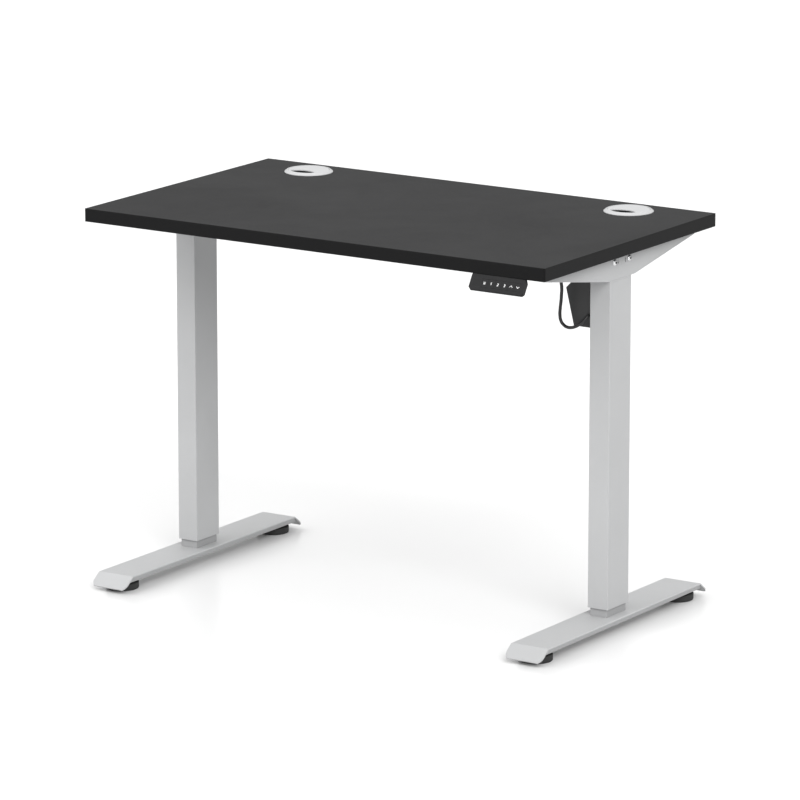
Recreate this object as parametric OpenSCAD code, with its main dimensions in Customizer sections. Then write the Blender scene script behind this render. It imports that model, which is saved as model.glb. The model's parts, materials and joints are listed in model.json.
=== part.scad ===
// Height adjustable standing desk: one motor lifts the worktop on two telescopic
// columns, and a cross shaft under the worktop keeps both columns level.
// Millimetres, Z up. +X is the user's right and the user sits on the -Y side.
// The origin is on the floor, below the middle of the whole desk.

/* [Worktop] */
// Width of the worktop
top_w = 1000; // [980:10:1200]
// Depth of the worktop
top_d = 600; // [560:10:700]
// Thickness of the worktop
top_t = 25; // [22:1:30]
// Height of the worktop's upper face at the lowest setting
desk_h = 729; // [715:1:760]
// Thickness of the edge band
band_t = 2; // [1:0.5:3]

/* [Cable ports] */
// Diameter of a cable port's flange
port_d = 93; // [90:1:100]
// Distance from the worktop's middle to each cable port
port_x = 356; // [300:1:385]
// Distance from the worktop's back edge to each cable port's centre
port_back = 73; // [60:1:110]

/* [Columns] */
// Distance between the centres of the two columns
column_span = 914; // [900:2:930]
// Width of the outer tube, along the worktop
tube_w = 42.5; // [42:0.5:43]
// Depth of the outer tube, front to back
tube_d = 74; // [72:1:80]
// Wall thickness of both tubes
wall = 1.5; // [1.2:0.1:1.8]
// Lifting stroke
stroke = 480; // [300:10:480]

/* [Feet] */
// Width of a foot
foot_w = 78; // [70:1:90]
// Length of a foot's flat top
foot_l = 540; // [500:10:560]
// Height of a foot's flat top above the floor
foot_h = 30.5; // [30:0.5:34]
// Diameter of a levelling glide
glide_d = 62; // [50:1:66]

/* [Handset] */
// Width of the handset
handset_w = 116; // [108:1:130]
// How far the handset's lower edge hangs below the worktop
handset_drop = 24.5; // [23:0.5:30]
// How far the handset's nose stands out in front of the worktop
handset_nose = 14; // [12:1:18]
// Distance from the worktop's middle to the handset's middle
handset_x = 406.4; // [300:0.1:410]

/* [Hidden] */
$fn = 64;
slack = 0.05; // gap of a running fit, on the radius
eps = 0.01;

// Places that the rest is set out from
top_y = handset_nose / 2; // the worktop's middle, so that the whole desk is centred on Y
frame_y = top_y - 3; // middle plane of the columns and the drive
column_x = column_span / 2;
under_z = desk_h - top_t; // underside of the worktop
port_y = top_y + top_d / 2 - port_back;

// Worktop
board_hole_r = 40;
edge_r = 1.5;
corner_r = 3;

// Cable port, measured from its centre and from the worktop's upper face
port_rise = 4.6;
port_lip = 1.2; // height of the flange's rim
port_let_in = 0.6; // how far the flange is let into the worktop
port_seat_r = 40.2; // recess that the cap lies in
port_bore_r = 37.4;
port_barrel_r = board_hole_r - 0.2;
port_barrel_l = 20;
cap_r = 39.9;
cap_top = 4.3;
cap_under = 2;
cap_skirt_r = 37;
cap_skirt_l = 8;
slot_r = 35; // radius of both arcs of the lens-shaped slot
slot_shift = 43; // distance between the centres of the two arcs

// Frame
sheet = 2.5; // folded steel sheet
head_h = 46.5; // from the columns' top plates to the worktop
head_z = under_z - head_h;
head_plate_t = 3;
web_x = column_x + tube_w / 2; // outer face of a side bracket
bracket_l = top_d - 82;
bracket_foot = 94; // length of the bracket's deepest stretch
bracket_tip = 9.5; // depth of the bracket at its ends
bracket_flange = 40;
bolt_y = 25.5;
bolt_z = head_z + 32.5;
bolt_d = 6;
bolt_head_d = 11.5;
bolt_head_h = 3.3;
bolt_l = 16;
hex_socket_d = 4.6;
slot_y = 13; // the two small slots between a bracket's bolts
rail_w = 14;
rail_h = 40;
rail_r = 2;
rail_block_h = 14;
rail_l = 2 * (web_x - sheet);
rail_inside = bolt_y - rail_w / 2; // from the worktop's middle plane to a rail's inner face
screw_d = 4; // wood screws
screw_bite = 15.5; // depth that they reach into the worktop
screw_head_d = 8;
screw_head_h = 2.4;

// Columns
column_gap = 15; // bare inner tube between foot and outer tube
tube_r = 1.5;
bore_r = 0.8; // corner radius inside a tube
play = 0.1; // gap between a tube and the bush that slides on it
inner_w = 36;
inner_d = 67.5;
tube_z = foot_h + column_gap;
tube_top = head_z - head_plate_t;
inner_top = tube_top - 14.5;
bush_h = 40;
lower_bush_h = 60;
base_t = 5; // plate closing the inner tube's lower end
lead_r = 8;
nut_r = 14;
nut_plate_t = 12;
lead_bottom = inner_top - bush_h - 5 - stroke;
journal_r = 6;
gear_seat_r = 4;

// Bevel gears: equal gears at right angles, so each pitch cone's apex lies one
// pitch radius in front of the gear's large end
teeth = 16;
gear_r = 11.2;
gear_face = 5;
gear_tip = 1.1;
gear_root = 1.6;
gear_hub_r = 7;
gear_hub_l = 7.2;
shaft_af = 8; // across the flats of the cross shaft
shaft_z = head_z + 21.5;
case_w = 37;
case_front = frame_y - top_y + rail_inside - play; // the castings reach from rail to rail
case_back = top_y - frame_y + rail_inside - play;
case_h = 38;
case_wall = 2.5;
case_floor = 6.5;
case_top = head_z + case_floor + play; // where the upright gears sit, just clear of the casting
case_hole_r = 6.5;
case_x = [-column_x, column_x, column_x - 43.5]; // left, right, motor

// Motor, hanging beside the right column
motor_x = case_x[2];
motor_r = 18;
motor_h = 68;
motor_joint = 14; // the gearbox end of the motor, a little narrower than the rest
end_cap_r = 9;
end_cap_h = 3;
spindle_l = 18; // stretch of the spindle inside the motor
cover_d = 44;
cover_t = 2;
cover_z = head_z - 93.8;
cover_top = head_z - 2.5;
cover_side = column_x - tube_w / 2 - 0.25; // face of the cover against the column
cover_foot_w = 42.6; // width at the bottom
cover_knee_w = 59.8; // at the knee, where it is widest
cover_neck_w = 48; // above the knee
cover_knee = 24.7; // depth of the knee below the column's top plate
cover_neck = 13;
gland_at = [cover_side - 6, frame_y - cover_d / 2, cover_z + 24.3];
gland_r = 5;
gland_l = 6;

// Motor cable, measured from the gland: it comes out of the control box's end, hangs
// as a loop and meets the gland face to face
cable_d = 6;
cable_side = [0.5, -0.5, 0.7]; // never along the cable, so it sets which way each ring is turned
cable_route = [
    [-79.5, -50, 98], [-72.5, -50, 98], [-65.5, -49, 97], [-58.5, -46, 93], [-53.5, -40, 85],
    [-50.5, -33, 74], [-48.5, -27, 62], [-48, -24, 49], [-49, -23, 36], [-50, -23, 23],
    [-51.5, -23, 10], [-52, -23, -2], [-50, -23, -12], [-44.5, -23, -19], [-36, -24, -22.5],
    [-27.5, -24, -22.5], [-19.5, -24, -20], [-12.5, -23, -16], [-6.5, -21, -11], [-2.5, -18, -6],
    [-0.5, -14, -2], [0, -10, 0], [0, -gland_l, 0]
];

// Control box under the worktop, ahead of the front rail
box_size = [160, 85, 32];
box_at = [gland_at.x + cable_route[0].x - box_size.x / 2, top_y - 97.5, under_z - box_size.z];
box_wall = 2;
inlet_size = [14, 28, 20];

// Handset: a sloping plate whose face leans back, so it looks up at the user
face_tilt = 31;
face_bevel = 1.8;
face_corners = [5.5, 4, 6, 2]; // cut off its corners: lower left, lower right, upper right, upper left
face_plate_t = 5; // thickness of the plate, its bevel included
key_up = 13; // from the face's lower edge to the middle of the keys
nose_y = top_y - top_d / 2 - handset_nose; // the furthest that the handset reaches to the front
face_at = [handset_x, nose_y + key_up * sin(face_tilt), under_z - handset_drop + key_up * cos(face_tilt)];
handset_back = handset_nose + 39; // length of the handset, front to back
body_inset = 14; // how much narrower the body is than the plate, at each end
ear_t = 4; // the ear behind it that the wood screws hold
ear_l = 20;
key_size = [11.4, 16, 2.6];
key_pitch = 13.85;
key_first = -26.6; // from the handset's middle to the leftmost key's
key_gap = 0.25;
key_travel = 0.8;
key_count = 6;
display_x = -42.5;
display_size = [17, 15, 1.2];

// Feet
flap_run = 28; // the sloping end flaps, along the floor
flap_fall = 20.5;
flap_angle = atan2(flap_fall, flap_run);
flange_h = 13.5;
flange_lean = 8; // how far a flange's lower edge stands in from the foot's side
foot_corner_r = 13;
fold_r = 2; // outside radius of the folds along a foot's edges
glide_y = 250;
glide_h = 14;
glide_rim = 11.5; // height of the pad's upright rim
stud_r = 4;
boss_r = 9;
boss_h = 12;
foot_bolt_at = [10, 24];

// Wood screws up into the worktop, as [x, y] places, and what each kind passes through
bracket_screw_x = web_x - 28;
bracket_screw_y = [for (k = [-1, -0.5, 0.5, 1]) k * (bracket_l / 2 - 22)];
bracket_screws = [for (sx = [-1, 1], y = bracket_screw_y) [sx * bracket_screw_x, top_y + y]];
box_screws = [for (sx = [-1, 1]) [box_at.x + sx * (box_size.x / 2 - 12), box_at.y]];
handset_screws = [for (sx = [-1, 1]) [handset_x + sx * 30, nose_y + handset_back - ear_l / 2]];

// ---- Shared shapes ----

module rounded_rect(w, d, r) {
    square([w - 2 * r, d], center = true);
    square([w, d - 2 * r], center = true);
    for (sx = [-1, 1], sy = [-1, 1])
        translate([sx * (w / 2 - r), sy * (d / 2 - r)])
            circle(r);
}

module box_tube(w, d, h, r, t) {
    linear_extrude(h)
        difference() {
            rounded_rect(w, d, r);
            rounded_rect(w - 2 * t, d - 2 * t, bore_r);
        }
}

// Lays a drawing made in the Y-Z plane across the desk, centred on X
module across(w) {
    rotate([90, 0, 90])
        linear_extrude(w, center = true)
            children();
}

// A slab whose long edges are rounded
module eased_slab(w, d, t) {
    intersection() {
        linear_extrude(t)
            rounded_rect(w, d, corner_r);
        translate([0, 0, t / 2])
            across(w)
                rounded_rect(d, t, edge_r);
        translate([0, 0, t / 2])
            rotate([90, 0, 0])
                linear_extrude(d, center = true)
                    rounded_rect(w, t, edge_r);
    }
}

// Button-head bolt with a hexagon socket, its head's underside at the origin and its shank along -Z
module button_bolt(length) {
    difference() {
        union() {
            translate([0, 0, -length])
                cylinder(d = bolt_d, h = length);
            rotate_extrude()
                polygon([[0, 0], [bolt_head_d / 2, 0], [bolt_head_d / 2, 0.8], [bolt_head_d / 2 - 1.4, 2.5],
                         [bolt_head_d / 2 - 3, bolt_head_h], [0, bolt_head_h]]);
        }
        translate([0, 0, bolt_head_h - 2])
            cylinder(d = hex_socket_d, h = 3, $fn = 6);
    }
}

// ---- Worktop ----

module board() {
    color("#3c3c3e")
        difference() {
            translate([0, top_y, under_z])
                linear_extrude(top_t)
                    rounded_rect(top_w - 2 * band_t, top_d - 2 * band_t, 1);
            for (sx = [-1, 1])
                translate([sx * port_x, port_y, under_z - eps]) {
                    cylinder(r = board_hole_r, h = top_t + 1);
                    translate([0, 0, top_t - port_let_in + eps])
                        cylinder(d = port_d + 2 * slack, h = 1);
                }
            for (s = concat(bracket_screws, box_screws, handset_screws))
                translate([s.x, s.y, under_z - eps])
                    cylinder(d = screw_d, h = screw_bite + eps);
        }
}

module edge_band() {
    color("#2b2b2d")
        difference() {
            translate([0, top_y, under_z])
                eased_slab(top_w, top_d, top_t);
            translate([0, top_y, under_z - 1])
                linear_extrude(top_t + 2)
                    rounded_rect(top_w - 2 * band_t, top_d - 2 * band_t, 1);
        }
}

module port_ring(side) {
    color("#cfcfd1")
        translate([side * port_x, port_y, desk_h])
            rotate_extrude()
                polygon([
                    [port_bore_r, -port_barrel_l], [port_barrel_r, -port_barrel_l],
                    [port_barrel_r, -port_let_in], [port_d / 2, -port_let_in],
                    [port_d / 2, port_lip], [port_seat_r + 1.8, port_rise],
                    [port_seat_r, port_rise], [port_seat_r, cap_under], [port_bore_r, cap_under]
                ]);
}

// Two equal arcs crossing: the lens-shaped slot that the cables pass through
module port_slot() {
    intersection() {
        circle(slot_r);
        translate([0, -slot_shift])
            circle(slot_r);
    }
}

module port_cap(side) {
    color("#dededf")
        translate([side * port_x, port_y, desk_h])
            difference() {
                rotate_extrude()
                    polygon([
                        [0, cap_under], [cap_skirt_r - 2, cap_under], [cap_skirt_r - 2, cap_under - cap_skirt_l],
                        [cap_skirt_r, cap_under - cap_skirt_l], [cap_skirt_r, cap_under + 0.1],
                        [cap_r, cap_under + 0.1], [cap_r, cap_top - 0.8], [cap_r - 1, cap_top], [0, cap_top]
                    ]);
                translate([0, 0, -cap_skirt_l])
                    linear_extrude(cap_skirt_l + port_rise)
                        port_slot();
            }
}

// ---- Steel frame ----

module bracket_side() {
    polygon([
        [-bracket_l / 2, under_z], [-bracket_l / 2, under_z - bracket_tip], [-bracket_foot / 2, head_z],
        [bracket_foot / 2, head_z], [bracket_l / 2, under_z - bracket_tip], [bracket_l / 2, under_z]
    ]);
}

module bracket(side) {
    color("#c6c7c9")
        translate([0, top_y, 0])
            difference() {
                union() {
                    translate([side * (web_x - sheet / 2), 0, 0])
                        across(sheet)
                            bracket_side();
                    translate([side * (web_x - bracket_flange / 2), 0, under_z - sheet / 2])
                        cube([bracket_flange, bracket_l, sheet], center = true);
                }
                for (sy = [-1, 1]) {
                    translate([side * web_x, sy * bolt_y, bolt_z])
                        rotate([0, 90, 0])
                            cylinder(d = bolt_d, h = 3 * sheet, center = true);
                    translate([side * web_x, sy * slot_y, bolt_z - 1])
                        across(3 * sheet)
                            rounded_rect(3, 8, 1.45);
                }
                for (y = bracket_screw_y)
                    translate([side * bracket_screw_x, y, under_z - 2 * sheet])
                        cylinder(d = screw_d, h = 3 * sheet);
            }
}

module bracket_bolts() {
    color("#d8d9db")
        for (side = [-1, 1], sy = [-1, 1])
            translate([side * web_x, top_y + sy * bolt_y, bolt_z])
                rotate([0, side * 90, 0])
                    button_bolt(bolt_l);
}

// Screws whose heads press on a flange of the given thickness
module wood_screws(places, grip) {
    for (s = places)
        translate([s.x, s.y, under_z - grip]) {
            cylinder(d = screw_d, h = grip + screw_bite);
            translate([0, 0, -screw_head_h])
                cylinder(d1 = screw_head_d - 2, d2 = screw_head_d, h = screw_head_h);
        }
}

module top_screws() {
    color("#8d9093") {
        wood_screws(bracket_screws, sheet);
        wood_screws(box_screws, box_size.z);
        wood_screws(handset_screws, ear_t);
    }
}

// Steel tube between the two side brackets, with a tapped block welded inside each end
module rail(sy) {
    color("#b9babc")
        translate([0, top_y + sy * bolt_y, head_z])
            difference() {
                union() {
                    rotate([0, 90, 0])
                        translate([-rail_h / 2, 0, -rail_l / 2])
                            box_tube(rail_h, rail_w, rail_l, rail_r, wall);
                    for (sx = [-1, 1])
                        translate([sx * (rail_l - bolt_l) / 2, 0, bolt_z - head_z])
                            cube([bolt_l, rail_w - wall, rail_block_h], center = true);
                }
                for (sx = [-1, 1])
                    translate([sx * rail_l / 2, 0, bolt_z - head_z])
                        rotate([0, 90, 0])
                            cylinder(d = bolt_d, h = 2 * (bolt_l - sheet), center = true);
            }
}

module head_plate(side) {
    color("#bfc0c2")
        translate([side * column_x, frame_y, tube_top])
            linear_extrude(head_plate_t)
                difference() {
                    rounded_rect(tube_w, tube_d, tube_r);
                    circle(journal_r + 2);
                }
}

module outer_tube(side) {
    color("#cbccce")
        translate([side * column_x, frame_y, tube_z])
            box_tube(tube_w, tube_d, tube_top - tube_z, tube_r, wall);
}

module lower_bush(side) {
    color("#34353a")
        translate([side * column_x, frame_y, tube_z + 1.5])
            linear_extrude(lower_bush_h)
                difference() {
                    rounded_rect(tube_w - 2 * wall, tube_d - 2 * wall, bore_r);
                    rounded_rect(inner_w + 2 * play, inner_d + 2 * play, 2);
                }
}

module inner_tube(side) {
    color("#c3c4c6")
        translate([side * column_x, frame_y, foot_h]) {
            box_tube(inner_w, inner_d, inner_top - foot_h, 2, wall);
            difference() {
                translate([0, 0, base_t / 2])
                    cube([inner_w - 2 * wall + 1, inner_d - 2 * wall + 1, base_t], center = true);
                foot_bolt_places()
                    cylinder(d = bolt_d, h = 4 * base_t, center = true);
            }
        }
}

module upper_bush(side) {
    color("#34353a")
        translate([side * column_x, frame_y, inner_top - bush_h])
            linear_extrude(bush_h)
                difference() {
                    rounded_rect(tube_w - 2 * wall - 2 * play, tube_d - 2 * wall - 2 * play, bore_r);
                    rounded_rect(inner_w, inner_d, 2);
                }
}

// ---- Lifting drive ----

module nut(side) {
    color("#b08d3c")
        translate([side * column_x, frame_y, inner_top - bush_h])
            difference() {
                union() {
                    cylinder(r = nut_r, h = bush_h);
                    translate([0, 0, bush_h - nut_plate_t])
                        linear_extrude(nut_plate_t)
                            rounded_rect(inner_w - 2 * wall, inner_d - 2 * wall, bore_r);
                }
                translate([0, 0, -1])
                    cylinder(r = lead_r + slack, h = bush_h + 2);
            }
}

module lead_screw(side) {
    color("#9a9da1")
        translate([side * column_x, frame_y, 0]) {
            translate([0, 0, lead_bottom])
                cylinder(r = lead_r, h = tube_top - 2 - lead_bottom);
            translate([0, 0, tube_top - 3])
                cylinder(r = journal_r, h = case_top - tube_top + 3);
            translate([0, 0, head_z])
                cylinder(r = gear_seat_r, h = shaft_z - gear_r + gear_face - head_z);
        }
}

function gear_point(angle, r) = r * [cos(angle), sin(angle)];

// Straight-sided teeth, narrower at the tip, with a tooth centred on the X axis
module gear_outline() {
    step = 360 / teeth;
    polygon([for (i = [0:teeth - 1], p = [[-0.31, -gear_root], [-0.14, gear_tip], [0.14, gear_tip], [0.31, -gear_root]])
        gear_point((i + p[0]) * step, gear_r + p[1])]);
}

// Bevel gear on the Z axis, large end at the origin, apex at z = gear_r
module bevel_gear(hub_l) {
    linear_extrude(gear_face, scale = 1 - gear_face / gear_r)
        gear_outline();
    translate([0, 0, -hub_l])
        cylinder(r = gear_hub_r, h = hub_l + 1);
}

module upright_gear(x) {
    translate([x, frame_y, shaft_z - gear_r])
        difference() {
            rotate([0, 0, 180 / teeth])
                bevel_gear(shaft_z - gear_r - case_top);
            translate([0, 0, -gear_r])
                cylinder(r = gear_seat_r, h = 2 * gear_r);
        }
}

module screw_gear(side) {
    color("#7d7f83")
        upright_gear(side * column_x);
}

module shaft_gear(x) {
    color("#7d7f83")
        translate([x - gear_r, frame_y, shaft_z])
            rotate([0, 90, 0])
                difference() {
                    bevel_gear(gear_hub_l);
                    translate([0, 0, -gear_r])
                        shaft_bar(2 * gear_r);
                }
}

module shaft_bar(length) {
    cylinder(d = shaft_af / cos(30), h = length, $fn = 6);
}

module cross_shaft() {
    start = -column_x - gear_r - gear_hub_l;
    color("#8f9296")
        translate([start, frame_y, shaft_z])
            rotate([0, 90, 0])
                shaft_bar(column_x - gear_r + gear_face + 0.5 - start);
}

// Housing of one bevel pair, open at the top; the same casting serves all three places
module gear_case(x) {
    color("#2e2f31")
        translate([x, frame_y, head_z])
            difference() {
                translate([-case_w / 2, -case_front, 0])
                    cube([case_w, case_front + case_back, case_h]);
                translate([-case_w / 2 + case_wall, -case_front + case_wall, case_floor])
                    cube([case_w - 2 * case_wall, case_front + case_back - 2 * case_wall, case_h]);
                translate([0, 0, -1])
                    cylinder(r = journal_r + slack, h = case_floor + 2);
                translate([-case_w, 0, shaft_z - head_z])
                    rotate([0, 90, 0])
                        cylinder(r = gear_hub_r + slack, h = case_w);
                translate([0, 0, shaft_z - head_z])
                    rotate([0, 90, 0])
                        cylinder(r = case_hole_r, h = case_w);
            }
}

module motor() {
    color("#55575a")
        translate([motor_x, frame_y, head_z - motor_h])
            difference() {
                rotate_extrude()
                    polygon([[0, 0], [end_cap_r, 0], [end_cap_r, end_cap_h], [motor_r - 1.5, end_cap_h],
                             [motor_r, end_cap_h + 1.5], [motor_r, motor_h - motor_joint],
                             [motor_r - 1, motor_h - motor_joint + 1], [motor_r - 1, motor_h], [0, motor_h]]);
                translate([0, 0, motor_h - spindle_l - 1])
                    cylinder(r = journal_r + slack, h = spindle_l + 2);
            }
}

module motor_spindle() {
    color("#9a9da1")
        translate([motor_x, frame_y, 0]) {
            translate([0, 0, head_z - spindle_l])
                cylinder(r = journal_r, h = case_top - head_z + spindle_l);
            translate([0, 0, head_z])
                cylinder(r = gear_seat_r, h = shaft_z - gear_r + gear_face - head_z);
        }
}

module motor_gear() {
    color("#7d7f83")
        upright_gear(motor_x);
}

// Outline of the cover seen from the front: narrow at the bottom, widest at a knee near the top
module cover_outline(inset) {
    polygon([
        [cover_side - inset, cover_z + inset], [cover_side - cover_foot_w + inset * 0.8, cover_z + inset],
        [cover_side - cover_knee_w + inset, head_z - cover_knee],
        [cover_side - cover_neck_w + inset, head_z - cover_neck],
        [cover_side - cover_neck_w + inset, cover_top + inset], [cover_side - inset, cover_top + inset]
    ]);
}

module motor_cover() {
    color("#2f2f31")
        translate([0, frame_y, 0])
            difference() {
                rotate([90, 0, 0])
                    linear_extrude(cover_d, center = true)
                        cover_outline(0);
                rotate([90, 0, 0])
                    linear_extrude(cover_d - 2 * cover_t, center = true)
                        cover_outline(cover_t);
            }
}

module motor_gland() {
    color("#1f1f20")
        translate(gland_at)
            rotate([90, 0, 0])
                rotate_extrude()
                    polygon([[0, 0], [gland_r, 0], [gland_r, 2], [gland_r - 1, gland_l], [0, gland_l]]);
}

// ---- Electrics ----

module control_box() {
    color("#2a2a2c")
        translate(box_at)
            difference() {
                translate([-box_size.x / 2, -box_size.y / 2, 0])
                    cube(box_size);
                translate([-box_size.x / 2 + box_wall, -box_size.y / 2 + box_wall, box_wall])
                    cube([box_size.x - 2 * box_wall, box_size.y - 2 * box_wall, box_size.z - 2 * box_wall]);
                translate([-box_size.x / 2, 0, box_size.z / 2])
                    cube([inlet_size.x, inlet_size.y, inlet_size.z], center = true);
                for (s = box_screws)
                    translate([s.x - box_at.x, 0, -1])
                        cylinder(d = screw_d, h = box_size.z + 2);
            }
}

module mains_inlet() {
    color("#161617")
        translate([box_at.x - box_size.x / 2, box_at.y, box_at.z + box_size.z / 2])
            difference() {
                translate([0, -inlet_size.y / 2, -inlet_size.z / 2])
                    cube([inlet_size.x / 2 + box_wall, inlet_size.y, inlet_size.z]);
                translate([-1, -inlet_size.y / 2 + 2, -inlet_size.z / 2 + 2])
                    cube([inlet_size.x / 2, inlet_size.y - 4, inlet_size.z - 4]);
            }
}

// A round tube swept along a list of points by keeping each ring square to the path
function unit(v) = v / norm(v);
function path_dir(p, i) = unit(p[min(i + 1, len(p) - 1)] - p[max(i - 1, 0)]);
function ring(p, i, r, sides) =
    let (d = path_dir(p, i),
         u = unit(cross(cross(d, cable_side), d)),
         v = cross(d, u))
    [for (k = [0:sides - 1]) p[i] + r * (cos(360 * k / sides) * u + sin(360 * k / sides) * v)];

module swept_tube(p, d, sides) {
    rings = len(p);
    polyhedron(
        points = [for (i = [0:rings - 1]) each ring(p, i, d / 2, sides)],
        faces = concat(
            [[for (k = [0:sides - 1]) k]],
            [for (i = [0:rings - 2], k = [0:sides - 1])
                let (a = i * sides + k, b = i * sides + (k + 1) % sides)
                [a, a + sides, b + sides, b]],
            [[for (k = [sides - 1:-1:0]) (rings - 1) * sides + k]]
        )
    );
}

module motor_cable() {
    color("#1d1d1e")
        translate(gland_at)
            swept_tube(cable_route, cable_d, 10);
}

// ---- Handset ----

// Moves to the middle of the handset's face, with Z pointing out of it
module on_face() {
    translate(face_at)
        rotate([90 - face_tilt, 0, 0])
            children();
}

// The plate drawn flat: it runs on past the worktop's underside, where it is cut off
module face_outline(inset) {
    left = -handset_w / 2 + inset;
    right = handset_w / 2 - inset;
    low = -key_up - face_bevel + inset;
    high = handset_drop / cos(face_tilt) - key_up;
    polygon([
        [left + face_corners[0], low], [right - face_corners[1], low], [right, low + face_corners[1]],
        [right, high - face_corners[2]], [right - face_corners[2], high],
        [right - face_corners[2], high + face_plate_t], [left + face_corners[3], high + face_plate_t],
        [left + face_corners[3], high], [left, high - face_corners[3]], [left, low + face_corners[0]]
    ]);
}

// The body behind the plate, seen from the side: a wedge up to the worktop, then back to the ear
module handset_side() {
    low = [face_at.y, face_at.z] + (face_plate_t - face_bevel) * [cos(face_tilt), -sin(face_tilt)]
        + (face_bevel - key_up) * [sin(face_tilt), cos(face_tilt)];
    high = [nose_y + handset_drop * tan(face_tilt) + face_plate_t / 2, under_z];
    ear_y = nose_y + handset_back;
    polygon([
        low, high, [ear_y, under_z], [ear_y, under_z - ear_t],
        [ear_y - ear_l, under_z - ear_t], low + [face_plate_t, 0]
    ]);
}

module handset() {
    color("#333335")
        difference() {
            union() {
                intersection() {
                    on_face()
                        hull() {
                            translate([0, 0, -eps])
                                linear_extrude(eps)
                                    face_outline(face_bevel);
                            translate([0, 0, -face_plate_t])
                                linear_extrude(face_plate_t - face_bevel)
                                    face_outline(0);
                        }
                    translate([0, 0, under_z - handset_w])
                        linear_extrude(handset_w)
                            square(2 * top_w, center = true);
                }
                translate([face_at.x, 0, 0])
                    across(handset_w - 2 * body_inset)
                        handset_side();
            }
            on_face() {
                for (i = [0:key_count - 1])
                    translate([key_first + i * key_pitch, 0, 0])
                        cube([key_size.x + 2 * key_gap, key_size.y + 2 * key_gap,
                              2 * (key_size.z + key_travel + 0.2)], center = true);
                translate([display_x, 0, 0])
                    cube([display_size.x, display_size.y, 2 * display_size.z], center = true);
            }
            for (s = handset_screws)
                translate([s.x, s.y, under_z - 2 * ear_t])
                    cylinder(d = screw_d, h = 3 * ear_t);
        }
}

module handset_display() {
    color("#101011")
        on_face()
            translate([display_x - display_size.x / 2, -display_size.y / 2, -display_size.z])
                cube(display_size);
}

module key(i) {
    color("#3a3a3c")
        on_face()
            translate([key_first + i * key_pitch, 0, -key_size.z])
                linear_extrude(key_size.z)
                    rounded_rect(key_size.x, key_size.y, 1.5);
}

// ---- Feet ----

module foot_bolt_places() {
    for (sx = [-1, 1], sy = [-1, 1])
        translate([sx * foot_bolt_at.x, sy * foot_bolt_at.y, 0])
            children();
}

// The folded sheet seen from the side: a flat top and an end flap sloping down each way
module foot_side() {
    half = foot_l / 2;
    tip = [half + flap_run, foot_h - flap_fall];
    inner_tip = tip - sheet * [sin(flap_angle), cos(flap_angle)];
    fold = [half - sheet * tan(flap_angle / 2), foot_h - sheet];
    right = [[half, foot_h], tip, inner_tip, fold];
    polygon(concat(right, [for (i = [3:-1:0]) [-right[i].x, right[i].y]]));
}

module foot_flange_side() {
    half = foot_l / 2;
    reach = half + flange_h * flap_run / flap_fall;
    polygon([[-half, foot_h], [half, foot_h], [reach, foot_h - flange_h], [-reach, foot_h - flange_h]]);
}

// A flange seen from the end of the foot: it leans in under the flat top
module foot_flange_end(sx) {
    top = foot_w / 2;
    low = top - flange_lean;
    polygon([
        [sx * top, foot_h], [sx * (top - sheet), foot_h],
        [sx * (low - sheet), foot_h - flange_h], [sx * low, foot_h - flange_h]
    ]);
}

module foot(side) {
    color("#cdced0")
        translate([side * column_x, frame_y, 0])
            difference() {
                union() {
                    intersection() {
                        union() {
                            across(foot_w)
                                foot_side();
                            for (sx = [-1, 1])
                                intersection() {
                                    across(foot_w)
                                        foot_flange_side();
                                    rotate([90, 0, 0])
                                        linear_extrude(2 * foot_l, center = true)
                                            foot_flange_end(sx);
                                }
                        }
                        linear_extrude(2 * foot_h)
                            rounded_rect(foot_w, foot_l + 2 * flap_run, foot_corner_r);
                        translate([0, 0, foot_h - foot_w / 2])
                            rotate([90, 0, 0])
                                linear_extrude(2 * foot_l, center = true)
                                    rounded_rect(foot_w, foot_w, fold_r);
                    }
                    for (sy = [-1, 1])
                        translate([0, sy * glide_y, foot_h - sheet - boss_h])
                            cylinder(r = boss_r, h = boss_h + eps);
                }
                for (sy = [-1, 1])
                    translate([0, sy * glide_y, 0])
                        cylinder(r = stud_r + slack, h = foot_h - sheet);
                foot_bolt_places()
                    cylinder(d = bolt_d, h = 2 * foot_h);
            }
}

module foot_bolts(side) {
    color("#8d9093")
        translate([side * column_x, frame_y, foot_h - sheet])
            foot_bolt_places()
                rotate([180, 0, 0])
                    button_bolt(sheet + base_t);
}

// A round pad moulded on a threaded stud
module glide(side, sy) {
    color("#202021")
        translate([side * column_x, frame_y + sy * glide_y, 0]) {
            rotate_extrude()
                polygon([[0, 0], [glide_d / 2 - 2, 0], [glide_d / 2 - 0.6, 0.6], [glide_d / 2, 2],
                         [glide_d / 2, glide_rim], [glide_d / 2 - 1.5, glide_rim + 1],
                         [boss_r + 3, glide_h], [0, glide_h]]);
            cylinder(r = stud_r, h = foot_h - sheet - 0.5);
        }
}

board();
edge_band();
port_ring(-1);  // port_ring_left
port_ring(1);  // port_ring_right
port_cap(-1);  // port_cap_left
port_cap(1);  // port_cap_right
bracket(-1);  // bracket_left
bracket(1);  // bracket_right
bracket_bolts();
top_screws();
rail(-1);  // rail_front
rail(1);  // rail_back
head_plate(-1);  // head_plate_left
head_plate(1);  // head_plate_right
outer_tube(-1);  // outer_tube_left
outer_tube(1);  // outer_tube_right
lower_bush(-1);  // lower_bush_left
lower_bush(1);  // lower_bush_right
inner_tube(-1);  // inner_tube_left
inner_tube(1);  // inner_tube_right
upper_bush(-1);  // upper_bush_left
upper_bush(1);  // upper_bush_right
nut(-1);  // nut_left
nut(1);  // nut_right
lead_screw(-1);  // lead_screw_left
lead_screw(1);  // lead_screw_right
screw_gear(-1);  // screw_gear_left
screw_gear(1);  // screw_gear_right
gear_case(case_x[0]);  // gear_case_left
gear_case(case_x[1]);  // gear_case_right
gear_case(case_x[2]);  // gear_case_motor
cross_shaft();
shaft_gear(case_x[0]);  // shaft_gear_left
shaft_gear(case_x[1]);  // shaft_gear_right
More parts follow.
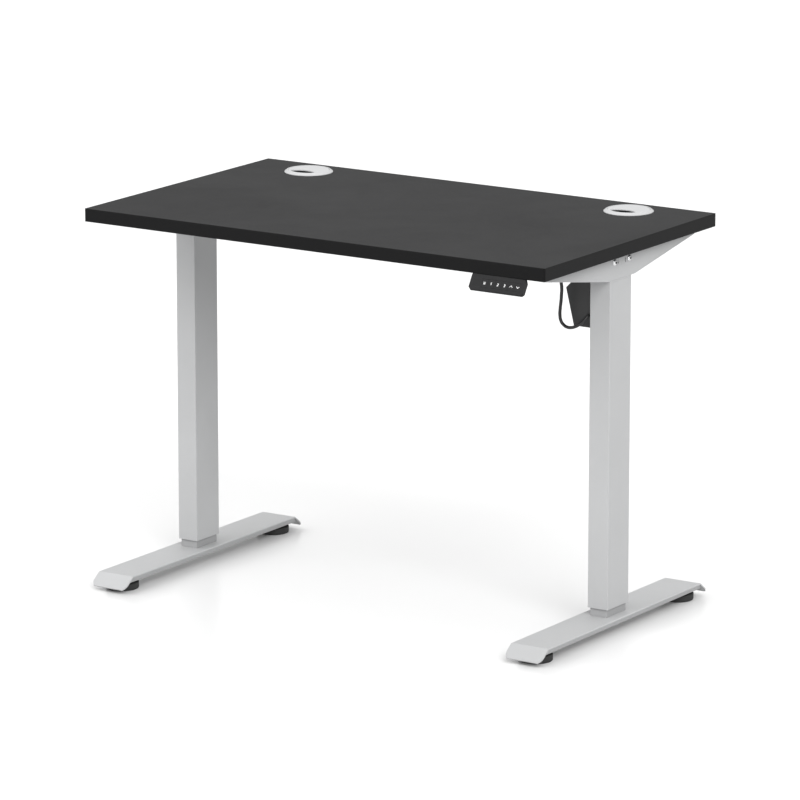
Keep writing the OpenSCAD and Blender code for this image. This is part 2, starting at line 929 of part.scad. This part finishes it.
shaft_gear(case_x[2]);  // shaft_gear_motor
motor();
motor_spindle();
motor_gear();
motor_cover();
motor_gland();
motor_cable();
control_box();
mains_inlet();
handset();
handset_display();
key(0);  // key_memory
key(1);  // key_one
key(2);  // key_two
key(3);  // key_three
key(4);  // key_up
key(5);  // key_down
foot(-1);  // foot_left
foot(1);  // foot_right
foot_bolts(-1);  // foot_bolts_left
foot_bolts(1);  // foot_bolts_right
glide(-1, -1);  // glide_front_left
glide(1, -1);  // glide_front_right
glide(-1, 1);  // glide_back_left
glide(1, 1);  // glide_back_right
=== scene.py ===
"""Height adjustable standing desk: looks, floor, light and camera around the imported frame."""

import json
import math

import bmesh
import bpy
from mathutils import Matrix, Vector


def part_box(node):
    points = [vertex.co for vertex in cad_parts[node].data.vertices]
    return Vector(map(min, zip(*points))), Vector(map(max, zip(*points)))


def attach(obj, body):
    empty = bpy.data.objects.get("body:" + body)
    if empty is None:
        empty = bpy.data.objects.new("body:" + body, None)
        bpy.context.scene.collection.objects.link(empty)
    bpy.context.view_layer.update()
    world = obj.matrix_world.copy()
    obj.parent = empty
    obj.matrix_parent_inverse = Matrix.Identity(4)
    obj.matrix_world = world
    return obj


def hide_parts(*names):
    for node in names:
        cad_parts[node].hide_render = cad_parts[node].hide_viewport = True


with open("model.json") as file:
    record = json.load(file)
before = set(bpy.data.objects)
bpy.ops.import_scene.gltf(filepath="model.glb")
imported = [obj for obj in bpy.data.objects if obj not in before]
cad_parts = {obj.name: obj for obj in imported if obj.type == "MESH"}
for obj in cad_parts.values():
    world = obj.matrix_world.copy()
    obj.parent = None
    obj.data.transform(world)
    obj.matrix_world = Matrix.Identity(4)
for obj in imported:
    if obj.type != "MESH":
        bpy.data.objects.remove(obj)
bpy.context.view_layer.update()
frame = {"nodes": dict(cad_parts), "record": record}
nodes = frame["nodes"]
record = frame["record"]

MM = 0.001
SLOT_OF = {part["node"]: part["material_slot"] for part in record["subparts"]}
# The inner tubes take a darker copy of the frame paint: painted shade for where they stand under the outer
# tubes and above the feet.
LOOK_OF = {**SLOT_OF, "inner_tube_left": "frame_paint_shaded", "inner_tube_right": "frame_paint_shaded"}
BODY_OF = {
    node: body
    for body, members in record["behaviour"]["bodies"].items()
    for node in members
}

# ---- Camera ----

CAMERA_AT = (5.4918, -8.3921, 2.7118)
CAMERA_RISE = math.radians(76.867)  # from looking straight down
CAMERA_TURN = math.radians(33.1745)  # about the upright, from looking straight at the desk's front
SENSOR_WIDTH = 36.0  # millimetres, as is the lens
LENS = 249.45


def make_camera():
    data = bpy.data.cameras.new("camera")
    data.sensor_width = SENSOR_WIDTH
    data.lens = LENS
    data.clip_start = 0.1
    data.clip_end = 200.0
    camera = bpy.data.objects.new("camera", data)
    camera.location = CAMERA_AT
    camera.rotation_euler = (CAMERA_RISE, 0.0, CAMERA_TURN)
    bpy.context.scene.collection.objects.link(camera)
    bpy.context.scene.camera = camera


# ---- Materials ----


class Surface:
    """One material: a Principled shader and short calls that feed it from patterns set out in metres."""

    def __init__(self, name, metallic=0.0, specular=0.5, coat=0.0, coat_roughness=0.1):
        self.material = bpy.data.materials.new(name)
        self.material.use_nodes = True
        self.tree = self.material.node_tree
        self.shader = self.tree.nodes["Principled BSDF"]
        self.shader.inputs["Metallic"].default_value = metallic
        self.shader.inputs["Specular IOR Level"].default_value = specular
        self.shader.inputs["Coat Weight"].default_value = coat
        self.shader.inputs["Coat Roughness"].default_value = coat_roughness
        self.place = self.add("ShaderNodeTexCoord").outputs["Object"]

    def add(self, kind, **settings):
        node = self.tree.nodes.new(kind)
        for name, value in settings.items():
            setattr(node, name, value)
        return node

    def feed(self, node, socket, value):
        """Sets an input to a number or colour, or links it to another node's output."""
        if isinstance(value, bpy.types.NodeSocket):
            self.tree.links.new(value, node.inputs[socket])
        else:
            node.inputs[socket].default_value = value

    def stretched(self, scale, turn=(0.0, 0.0, 0.0)):
        mapping = self.add("ShaderNodeMapping")
        self.feed(mapping, "Vector", self.place)
        mapping.inputs["Rotation"].default_value = turn
        mapping.inputs["Scale"].default_value = scale
        return mapping.outputs["Vector"]

    def height(self):
        """Height above the floor in metres, with the desk at rest."""
        split = self.add("ShaderNodeSeparateXYZ")
        self.feed(split, "Vector", self.place)
        return split.outputs["Z"]

    def noise(self, scale, detail=3.0, roughness=0.55, place=None, distortion=0.0):
        node = self.add("ShaderNodeTexNoise")
        self.feed(node, "Vector", place or self.place)
        node.inputs["Scale"].default_value = scale
        node.inputs["Detail"].default_value = detail
        node.inputs["Roughness"].default_value = roughness
        node.inputs["Distortion"].default_value = distortion
        return node.outputs["Fac"]

    def cells(self, scale):
        node = self.add("ShaderNodeTexVoronoi", feature="F1")
        self.feed(node, "Vector", self.place)
        node.inputs["Scale"].default_value = scale
        return node.outputs["Distance"]

    def remap(self, value, low, high, start=0.25, end=0.75):
        """Spreads a pattern's middle stretch, from start to end, over low to high."""
        node = self.add("ShaderNodeMapRange", clamp=True)
        self.feed(node, "Value", value)
        node.inputs["From Min"].default_value = start
        node.inputs["From Max"].default_value = end
        node.inputs["To Min"].default_value = low
        node.inputs["To Max"].default_value = high
        return node.outputs["Result"]

    def maths(self, operation, a, b):
        node = self.add("ShaderNodeMath", operation=operation)
        self.feed(node, 0, a)
        self.feed(node, 1, b)
        return node.outputs[0]

    def blend(self, share, first, second):
        """A colour between two others."""
        node = self.add("ShaderNodeMix", data_type="RGBA")
        self.feed(node, 0, share)
        self.feed(node, 6, (*first, 1.0) if isinstance(first, tuple) else first)
        self.feed(node, 7, (*second, 1.0) if isinstance(second, tuple) else second)
        return node.outputs[2]

    def bump(self, height, depth, under=None):
        """A bump of the given depth in metres, on top of another bump."""
        node = self.add("ShaderNodeBump")
        node.inputs["Strength"].default_value = 1.0
        node.inputs["Distance"].default_value = depth
        self.feed(node, "Height", height)
        if under is not None:
            self.feed(node, "Normal", under)
        return node.outputs["Normal"]

    def edges(self, radius):
        """0 on a flat face, rising towards 1 at the piece's edges."""
        rounded = self.add("ShaderNodeBevel", samples=4)
        rounded.inputs["Radius"].default_value = radius
        true = self.add("ShaderNodeNewGeometry")
        dot = self.add("ShaderNodeVectorMath", operation="DOT_PRODUCT")
        self.feed(dot, 0, rounded.outputs["Normal"])
        self.feed(dot, 1, true.outputs["Normal"])
        return self.remap(dot.outputs["Value"], 1.0, 0.0, 0.75, 0.995)

    def finish(self, colour, roughness, normal):
        self.feed(self.shader, "Base Color", colour)
        self.feed(self.shader, "Roughness", roughness)
        self.feed(self.shader, "Normal", normal)
        return self.material


def worktop_surface():
    s = Surface("worktop", specular=0.095)
    mottle = s.noise(38.0, 5.0)
    pores = s.noise(1500.0, 2.0)
    grain = s.noise(1.0, 6.0, 0.6, s.stretched((26.0, 420.0, 420.0)))
    handling = s.noise(4.0, 3.0, 0.6, distortion=0.6)
    shade = s.maths("ADD", s.remap(mottle, 0.0, 0.5), s.remap(grain, 0.0, 0.5))
    colour = s.blend(shade, (0.0090, 0.0090, 0.0094), (0.0136, 0.0136, 0.0140))
    roughness = s.maths("ADD", s.remap(handling, 0.50, 0.57), s.remap(pores, 0.0, 0.08))
    normal = s.bump(pores, 0.00006)
    normal = s.bump(grain, 0.00005, normal)
    return s.finish(colour, roughness, normal)


def edge_surface():
    s = Surface("edge", specular=0.11)
    chatter = s.noise(1.0, 3.0, 0.5, s.stretched((700.0, 700.0, 18.0)))
    speckle = s.noise(2200.0, 2.0)
    wear_and_highlight = s.edges(0.0012)
    colour = s.blend(s.remap(speckle, 0.0, 1.0), (0.0027, 0.0027, 0.0029), (0.0041, 0.0041, 0.0043))
    # paler edges: partly wear, partly a painted highlight
    colour = s.blend(s.maths("MULTIPLY", wear_and_highlight, 0.4), colour, (0.016, 0.016, 0.0165))
    roughness = s.maths("SUBTRACT", s.remap(chatter, 0.44, 0.52), s.maths("MULTIPLY", wear_and_highlight, 0.08))
    normal = s.bump(speckle, 0.00003)
    normal = s.bump(chatter, 0.00002, normal)
    return s.finish(colour, roughness, normal)


def port_surface():
    """Silver lacquer down to just below the worktop's face, and under that a near-black painted shade for
    the dark inside of the bore and under the cap.
    """
    s = Surface("port", metallic=0.1, specular=0.24)
    flake = s.cells(2600.0)
    haze = s.noise(60.0, 4.0)
    wear_and_highlight = s.edges(0.0010)
    colour = s.blend(s.remap(flake, 0.0, 1.0, 0.1, 0.7), (0.370, 0.373, 0.376), (0.430, 0.433, 0.437))
    # paler edges: partly wear, partly a painted highlight
    colour = s.blend(s.maths("MULTIPLY", wear_and_highlight, 0.3), colour, (0.60, 0.605, 0.61))
    # below just under the worktop's face, a near-black painted shade stands in for the darkness inside the
    # bore
    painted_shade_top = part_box("board")[1].z - 0.5 * MM
    painted_bore_shade = s.remap(s.height(), 1.0, 0.0, painted_shade_top - 0.2 * MM, painted_shade_top + 0.2 * MM)
    colour = s.blend(painted_bore_shade, colour, (0.016, 0.016, 0.017))
    roughness = s.remap(haze, 0.38, 0.46)
    normal = s.bump(s.noise(1800.0, 2.0), 0.00002)
    return s.finish(colour, roughness, normal)


def paint_surface(name, dark, light):
    """Powder coat: a fine orange peel, with small metal flakes and paler edges, partly a thinner film and
    partly a painted highlight.
    """
    s = Surface(name, metallic=0.08, specular=0.22)
    peel = s.noise(520.0, 2.0, 0.5)
    fine = s.noise(2400.0, 2.0)
    flake = s.cells(3000.0)
    cloud = s.noise(9.0, 4.0)
    wear_and_highlight = s.edges(0.0012)
    share = s.maths("ADD", s.remap(cloud, 0.0, 0.5), s.remap(flake, 0.0, 0.5, 0.1, 0.7))
    colour = s.blend(share, dark, light)
    # paler edges: partly wear, partly a painted highlight
    colour = s.blend(s.maths("MULTIPLY", wear_and_highlight, 0.15), colour, tuple(1.18 * c for c in light))
    roughness = s.maths("SUBTRACT", s.remap(fine, 0.50, 0.60), s.maths("MULTIPLY", wear_and_highlight, 0.06))
    normal = s.bump(peel, 0.00007)
    normal = s.bump(fine, 0.00002, normal)
    return s.finish(colour, roughness, normal)


def fastener_surface():
    s = Surface("fastener", metallic=1.0, specular=0.5)
    turned = s.noise(1.0, 4.0, 0.6, s.stretched((300.0, 3000.0, 3000.0)))
    stain = s.noise(220.0, 4.0)
    wear_and_highlight = s.edges(0.0006)
    colour = s.blend(s.remap(stain, 0.0, 1.0), (0.56, 0.565, 0.575), (0.70, 0.70, 0.70))
    # paler edges: partly wear, partly a painted highlight
    colour = s.blend(s.maths("MULTIPLY", wear_and_highlight, 0.6), colour, (0.86, 0.86, 0.86))
    roughness = s.remap(turned, 0.22, 0.38)
    normal = s.bump(turned, 0.00002)
    return s.finish(colour, roughness, normal)


def steel_surface():
    """Turned and oiled steel for the shafts, lifting screws and gears."""
    s = Surface("drive_steel", metallic=1.0, specular=0.5)
    turned = s.noise(1.0, 4.0, 0.6, s.stretched((900.0, 900.0, 2600.0)))
    oil = s.noise(45.0, 4.0, distortion=0.8)
    wear_and_highlight = s.edges(0.0006)
    colour = s.blend(s.remap(oil, 0.0, 1.0), (0.30, 0.305, 0.31), (0.44, 0.44, 0.435))
    # paler edges: partly wear, partly a painted highlight
    colour = s.blend(s.maths("MULTIPLY", wear_and_highlight, 0.5), colour, (0.66, 0.66, 0.65))
    roughness = s.maths("ADD", s.remap(turned, 0.20, 0.30), s.remap(oil, 0.0, 0.10))
    normal = s.bump(turned, 0.00002)
    return s.finish(colour, roughness, normal)


def brass_surface():
    s = Surface("nut_brass", metallic=1.0, specular=0.5)
    turned = s.noise(1.0, 4.0, 0.6, s.stretched((700.0, 700.0, 3000.0)))
    tarnish = s.noise(90.0, 5.0)
    colour = s.blend(s.remap(tarnish, 0.0, 1.0), (0.52, 0.36, 0.13), (0.66, 0.50, 0.22))
    roughness = s.remap(turned, 0.24, 0.40)
    normal = s.bump(turned, 0.00003)
    return s.finish(colour, roughness, normal)


def casting_surface():
    s = Surface("casting", specular=0.4)
    sand = s.noise(1100.0, 4.0, 0.65)
    wear_and_highlight = s.edges(0.0010)
    colour = s.blend(s.remap(sand, 0.0, 1.0), (0.030, 0.030, 0.032), (0.052, 0.052, 0.054))
    # paler edges: partly wear, partly a painted highlight
    colour = s.blend(s.maths("MULTIPLY", wear_and_highlight, 0.5), colour, (0.12, 0.12, 0.12))
    roughness = s.remap(sand, 0.55, 0.70)
    normal = s.bump(sand, 0.00012)
    return s.finish(colour, roughness, normal)


def motor_surface():
    s = Surface("motor_shell", metallic=0.3, specular=0.5)
    drawn = s.noise(1.0, 3.0, 0.5, s.stretched((1200.0, 1200.0, 60.0)))
    fine = s.noise(1600.0, 2.0)
    colour = s.blend(s.remap(fine, 0.0, 1.0), (0.085, 0.085, 0.09), (0.12, 0.12, 0.125))
    roughness = s.remap(drawn, 0.34, 0.46)
    normal = s.bump(drawn, 0.00002)
    return s.finish(colour, roughness, normal)


def plastic_surface(name, dark, light, rough, depth, grain=1900.0, specular=0.4, coat=0.0):
    """Moulded plastic or rubber: a spark-eroded grain, faint flow marks and paler edges, partly wear and
    partly a painted highlight.
    """
    s = Surface(name, specular=specular, coat=coat, coat_roughness=0.06)
    spark = s.noise(grain, 3.0, 0.6)
    flow = s.noise(1.0, 3.0, 0.5, s.stretched((30.0, 90.0, 50.0)))
    wear_and_highlight = s.edges(0.0008)
    paler = tuple(2.2 * c + 0.01 for c in light)
    colour = s.blend(s.remap(spark, 0.0, 1.0), (dark,) * 3, light)
    # paler edges: partly wear, partly a painted highlight
    colour = s.blend(s.maths("MULTIPLY", wear_and_highlight, 0.35), colour, paler)
    roughness = s.maths("ADD", s.remap(spark, rough, rough + 0.08), s.remap(flow, 0.0, 0.05))
    normal = s.bump(spark, depth)
    return s.finish(colour, roughness, normal)


def ink_surface():
    s = Surface("key_marks", specular=0.4)
    screen = s.noise(2600.0, 2.0)
    colour = s.blend(s.remap(screen, 0.0, 1.0), (0.70, 0.70, 0.70), (0.82, 0.82, 0.82))
    return s.finish(colour, s.remap(screen, 0.42, 0.55), s.bump(screen, 0.00001))


def floor_surface():
    s = Surface("floor", specular=0.5)
    sweep = s.noise(0.8, 3.0)
    colour = s.blend(s.remap(sweep, 0.0, 1.0), (0.70, 0.70, 0.70), (0.72, 0.72, 0.72))
    return s.finish(colour, s.remap(sweep, 0.20, 0.24), s.bump(s.noise(90.0, 2.0), 0.00002))


MATERIALS = {
    "worktop": worktop_surface(),
    "edge": edge_surface(),
    "port": port_surface(),
    "frame_paint": paint_surface("frame_paint", (0.352, 0.355, 0.358), (0.387, 0.390, 0.394)),
    # a darker copy of the frame paint: painted shade for the inner tubes
    "frame_paint_shaded": paint_surface("frame_paint_shaded", (0.275, 0.277, 0.280), (0.305, 0.307, 0.310)),
    "fastener": fastener_surface(),
    "drive_steel": steel_surface(),
    "nut_brass": brass_surface(),
    "casting": casting_surface(),
    "motor_shell": motor_surface(),
    "bush": plastic_surface("bush", 0.020, (0.028, 0.028, 0.031), 0.45, 0.00002),
    "black_plastic": plastic_surface("black_plastic", 0.012, (0.019, 0.019, 0.020), 0.42, 0.00003),
    "cable": plastic_surface("cable", 0.008, (0.012, 0.012, 0.012), 0.38, 0.00001, 3200.0),
    "handset_plastic": plastic_surface(
        "handset_plastic", 0.010, (0.014, 0.014, 0.015), 0.40, 0.00002, specular=0.15,
    ),
    "key_plastic": plastic_surface("key_plastic", 0.010, (0.014, 0.014, 0.015), 0.38, 0.00001, 2800.0, 0.15),
    "display": plastic_surface("display", 0.009, (0.012, 0.012, 0.013), 0.26, 0.000002, 900.0, 0.11, 0.04),
    "glide_rubber": plastic_surface("glide_rubber", 0.013, (0.020, 0.020, 0.020), 0.62, 0.00005, 1300.0),
}
MARK_INK = ink_surface()


# ---- Pieces ----

SMOOTH_UP_TO = math.radians(42)  # a sharper edge than this is drawn as an edge
LARGE_FACE_WEIGHT = 80  # at 50 all faces count alike in the shading, and above it large ones count for more
ROUND_FROM = math.radians(25.0)  # faces that meet at less than this are one curved surface
ROUND_STEPS = 2
MERGE_WITHIN = 0.000002
FLAT_WITHIN = math.radians(0.4)


def add_piece(name, bm, node):
    """Stands a finished bmesh in a node's place, shaded smooth up to its sharp edges."""
    mesh = bpy.data.meshes.new(name)
    bm.to_mesh(mesh)
    bm.free()
    mesh.materials.append(MATERIALS[LOOK_OF[node]])
    mesh.shade_smooth()
    mesh.set_sharp_from_angle(angle=SMOOTH_UP_TO)
    piece = bpy.data.objects.new(name, mesh)
    bpy.context.scene.collection.objects.link(piece)
    weighted = piece.modifiers.new("weighted_normals", "WEIGHTED_NORMAL")
    weighted.keep_sharp = True
    weighted.weight = LARGE_FACE_WEIGHT
    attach(piece, BODY_OF[node])
    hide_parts(node)


def round_edges(bm, radius):
    """Rounds every edge that is more than a step in a curved surface."""
    edges = [
        e for e in bm.edges
        if len(e.link_faces) == 2 and e.calc_face_angle(0.0) > ROUND_FROM
    ]
    bmesh.ops.bevel(
        bm, geom=edges, offset=radius, offset_type="OFFSET", segments=ROUND_STEPS, profile=0.5,
        affect="EDGES", clamp_overlap=False, loop_slide=True, miter_outer="ARC", miter_inner="SHARP",
    )


def soften(node, radius):
    """Stands a copy of a CAD node in its place, its sharp edges rounded as by a press or a mould."""
    bm = bmesh.new()
    bm.from_mesh(nodes[node].data)
    bmesh.ops.remove_doubles(bm, verts=bm.verts, dist=MERGE_WITHIN)
    bmesh.ops.dissolve_limit(
        bm, angle_limit=FLAT_WITHIN, use_dissolve_boundaries=False, verts=bm.verts, edges=bm.edges,
    )
    round_edges(bm, radius)
    add_piece(f"fine_{node}", bm, node)


# Nodes by the radius of their edges
SOFTENED = {
    0.25 * MM: ["outer_tube_left", "outer_tube_right", "inner_tube_left", "inner_tube_right",
                "bracket_bolts", "foot_bolts_left", "foot_bolts_right",
                "key_memory", "key_one", "key_two", "key_three", "key_up", "key_down"],
    0.4 * MM: ["port_ring_left", "port_ring_right", "port_cap_left", "port_cap_right",
               "head_plate_left", "head_plate_right", "mains_inlet", "motor_gland"],
    0.6 * MM: ["bracket_left", "bracket_right", "motor_cover",
               "gear_case_left", "gear_case_right", "gear_case_motor"],
    1.2 * MM: ["control_box"],
}


def paint_nodes():
    for node, piece in nodes.items():
        piece.data.materials.clear()
        piece.data.materials.append(MATERIALS[LOOK_OF[node]])


# ---- Motor cable ----

GLAND_AT = Vector((429.5, -18.0, 588.0)) * MM
CABLE_DIAMETER = 6.0 * MM
CABLE_ROUTE = [
    (-79.5, -50, 98), (-72.5, -50, 98), (-65.5, -49, 97), (-58.5, -46, 93), (-53.5, -40, 85),
    (-50.5, -33, 74), (-48.5, -27, 62), (-48, -24, 49), (-49, -23, 36), (-50, -23, 23),
    (-51.5, -23, 10), (-52, -23, -2), (-50, -23, -12), (-44.5, -23, -19), (-36, -24, -22.5),
    (-27.5, -24, -22.5), (-19.5, -24, -20), (-12.5, -23, -16), (-6.5, -21, -11), (-2.5, -18, -6),
    (-0.5, -14, -2), (0, -10, 0), (0, -6, 0),
]


def make_cable():
    points = [GLAND_AT + Vector(p) * MM for p in CABLE_ROUTE]
    curve = bpy.data.curves.new("motor_lead", "CURVE")
    curve.dimensions = "3D"
    curve.bevel_depth = CABLE_DIAMETER / 2
    curve.bevel_resolution = 6
    curve.use_fill_caps = True
    spline = curve.splines.new("BEZIER")
    spline.bezier_points.add(len(points) - 1)
    for knot, point in zip(spline.bezier_points, points):
        knot.co = point
        knot.handle_left_type = "AUTO"
        knot.handle_right_type = "AUTO"
    spline.resolution_u = 6
    curve.materials.append(MATERIALS["cable"])
    piece = bpy.data.objects.new("motor_lead", curve)
    bpy.context.scene.collection.objects.link(piece)
    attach(piece, "carriage")
    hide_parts("motor_cable")


# ---- Marks on the keys ----

FACE_TILT = math.radians(31)
MARK_SIZE = 0.88 * MM  # one step of the drawings below
MARK_WIDTH = 0.8 * MM
MARK_RAISE = 0.06 * MM
MARK_SINK = 0.02 * MM
KEY_LIFT = 1.3 * MM  # from a key's middle to its face
MARKS = {
    "key_memory": [[(-2.4, 1.9), (2.4, 1.9)], [(-2.4, 0), (2.4, 0)], [(-2.4, -1.9), (2.4, -1.9)]],
    "key_one": [[(-1.2, 1.4), (0.3, 2.5), (0.3, -2.5)]],
    "key_two": [[(-1.5, 1.5), (-0.8, 2.3), (0.6, 2.4), (1.5, 1.5), (1.3, 0.4), (-1.6, -2.4), (1.7, -2.4)]],
    "key_three": [[
        (-1.5, 2.1), (0, 2.5), (1.4, 1.8), (1.3, 0.6), (-0.2, 0.1),
        (1.4, -0.6), (1.5, -1.8), (0, -2.5), (-1.6, -2.0),
    ]],
    "key_up": [[(-3.4, -1.7), (0, 1.9), (3.4, -1.7)]],
    "key_down": [[(-3.4, 1.7), (0, -1.9), (3.4, 1.7)]],
}


MITRE_LIMIT = 0.45  # a sharp corner reaches no further than a width divided by this


def stroke(bm, path, width, low, high):
    """A flat ribbon along a path of 2-D points, mitred at the corners and closed all round."""
    normals = []
    for i in range(len(path)):
        before = (path[i] - path[i - 1]).normalized() if i > 0 else None
        after = (path[i + 1] - path[i]).normalized() if i < len(path) - 1 else None
        along = ((before or after) + (after or before)).normalized()
        side = Vector((-along.y, along.x))
        straight = after or before
        reach = 1.0 / max(MITRE_LIMIT, abs(side.dot(Vector((-straight.y, straight.x)))))
        normals.append(side * reach)
    rows = [
        [
            bm.verts.new((p.x + sign * n.x * width / 2, p.y + sign * n.y * width / 2, z))
            for sign, z in ((1, low), (-1, low), (-1, high), (1, high))
        ]
        for p, n in zip(path, normals)
    ]
    for a, b in zip(rows, rows[1:]):
        for k in range(4):
            bm.faces.new((a[k], a[(k + 1) % 4], b[(k + 1) % 4], b[k]))
    bm.faces.new(rows[0][::-1])
    bm.faces.new(rows[-1])


def make_marks():
    for key, paths in MARKS.items():
        a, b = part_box(key)
        middle = (a + b) / 2
        face = Matrix.Translation(middle) @ Matrix.Rotation(math.radians(90) - FACE_TILT, 4, "X")
        bm = bmesh.new()
        for path in paths:
            points = [Vector(p) * MARK_SIZE for p in path]
            stroke(bm, points, MARK_WIDTH, KEY_LIFT - MARK_SINK, KEY_LIFT + MARK_RAISE)
        bm.transform(face)
        bmesh.ops.recalc_face_normals(bm, faces=bm.faces)
        mesh = bpy.data.meshes.new(f"mark_{key}")
        bm.to_mesh(mesh)
        bm.free()
        mesh.materials.append(MARK_INK)
        piece = bpy.data.objects.new(f"mark_{key}", mesh)
        bpy.context.scene.collection.objects.link(piece)
        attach(piece, BODY_OF[key])


# ---- Floor and light ----

FLOOR_REACH = 60.0
HORIZON_LIGHT = 0.64
OVERHEAD_LIGHT = 1.50
HORIZON_END = 0.05  # the light grows between these two heights, on a sky of radius 1
OVERHEAD_START = 0.75
# Each light as its direction, its spread in degrees and its strength
LIGHTS = {
    "key": ((-0.62, 0.50, -0.56), 36.0, 2.0),
    "fill": ((0.45, 0.78, -0.42), 60.0, 1.0),
}


def make_floor():
    bm = bmesh.new()
    bmesh.ops.create_grid(bm, x_segments=2, y_segments=2, size=FLOOR_REACH)
    mesh = bpy.data.meshes.new("floor")
    bm.to_mesh(mesh)
    bm.free()
    mesh.materials.append(floor_surface())
    floor = bpy.data.objects.new("floor", mesh)
    bpy.context.scene.collection.objects.link(floor)


def make_light(name, towards, spread, strength):
    """A distant soft box: light from one direction, spread over an angle in degrees."""
    data = bpy.data.lights.new(name, "SUN")
    data.energy = strength
    data.angle = math.radians(spread)
    light = bpy.data.objects.new(name, data)
    light.rotation_euler = Vector(towards).to_track_quat("-Z", "Y").to_euler()
    bpy.context.scene.collection.objects.link(light)


def make_world():
    """A white room: brighter overhead, dimmer near the horizon."""
    world = bpy.data.worlds.new("studio")
    world.use_nodes = True
    tree = world.node_tree
    place = tree.nodes.new("ShaderNodeTexCoord")
    split = tree.nodes.new("ShaderNodeSeparateXYZ")
    tree.links.new(place.outputs["Generated"], split.inputs[0])
    ramp = tree.nodes.new("ShaderNodeMapRange")
    ramp.interpolation_type = "SMOOTHSTEP"
    tree.links.new(split.outputs["Z"], ramp.inputs["Value"])
    ramp.inputs["From Min"].default_value = HORIZON_END
    ramp.inputs["From Max"].default_value = OVERHEAD_START
    ramp.inputs["To Min"].default_value = HORIZON_LIGHT
    ramp.inputs["To Max"].default_value = OVERHEAD_LIGHT
    sky = tree.nodes["Background"]
    tree.links.new(ramp.outputs["Result"], sky.inputs["Strength"])
    sky.inputs["Color"].default_value = (1.0, 1.0, 1.0, 1.0)
    bpy.context.scene.world = world


# ---- The whole scene ----

make_camera()
make_cable()
paint_nodes()
for radius, names in SOFTENED.items():
    for name in names:
        soften(name, radius)
make_marks()
make_floor()
make_world()
for name, (towards, spread, strength) in LIGHTS.items():
    make_light(name, towards, spread, strength)
scene = bpy.context.scene
scene.view_settings.view_transform = "Standard"
scene.view_settings.look = "None"
